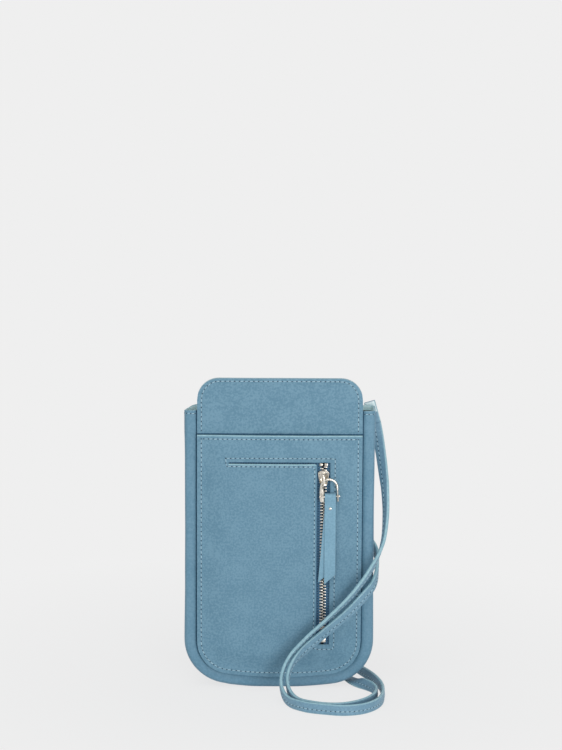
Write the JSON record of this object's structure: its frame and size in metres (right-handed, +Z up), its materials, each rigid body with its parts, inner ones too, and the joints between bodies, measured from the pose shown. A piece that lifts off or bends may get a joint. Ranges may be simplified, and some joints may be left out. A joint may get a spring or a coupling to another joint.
{
  "type": "phone pouch",
  "caption": "Slim upright crossbody phone pouch in blue-grey leather, with a raised front tab, a card pocket, an L-shaped zip pocket with a leather puller, and a long flat strap.",
  "frame": {"origin": "centre of the flat that the gusset stands on, midway between the panels", "axes": "+Z up to the mouth and the tab, -Y out of the zip pocket's front, +X towards the side where the strap hangs"},
  "size_m": [0.1273, 0.1288, 0.1985],
  "materials": {
    "leather": "smooth matte, fine grain",
    "leather_light": "smooth matte",
    "lining": "fine woven lining",
    "board": "pressed fibre board",
    "tape": "woven zip tape",
    "nickel": "polished nickel plate",
    "magnet": "plated disc"
  },
  "bodies": {
    "pouch": {"front_panel": "leather", "back_panel": "leather", "tab_facing": "leather", "pocket_panel": "leather", "gusset": "leather", "gusset_lining": "lining", "front_board": "board", "back_board": "board", "front_lining": "lining", "back_lining": "lining", "magnet_front": "magnet", "magnet_back": "magnet", "pocket_bag": "lining", "slit_facing": "tape", "zip_tape_left": "tape", "zip_tape_right": "tape", "zip_teeth_left": "nickel", "zip_teeth_right": "nickel", "zip_top_stops": "nickel", "zip_bottom_stop": "nickel", "strap_end_right": "leather", "strap_end_left": "leather", "strap": "leather"},
    "slider": {"zip_slider": "nickel"},
    "ring": {"pull_ring": "nickel", "pull_pin": "nickel"},
    "tab": {"pull_tab": "leather_light", "tab_rivet": "nickel"}
  },
  "joints": [
    {"name": "zip_slide", "type": "slide", "parent": "pouch", "child": "slider", "axis": [0, 0, 1], "range_m": [-0.0979, 0]},
    {"name": "ring_swing", "type": "hinge", "parent": "slider", "child": "ring", "pos_m": [0.0271, -0.0167, 0.13508], "axis": [-1, 0, 0], "range_deg": [0, 40]},
    {"name": "tab_swing", "type": "hinge", "parent": "ring", "child": "tab", "pos_m": [0.03091, -0.0167, 0.12562], "axis": [-0.9986, 0, -0.0523], "range_deg": [0, 75]}
  ]
}
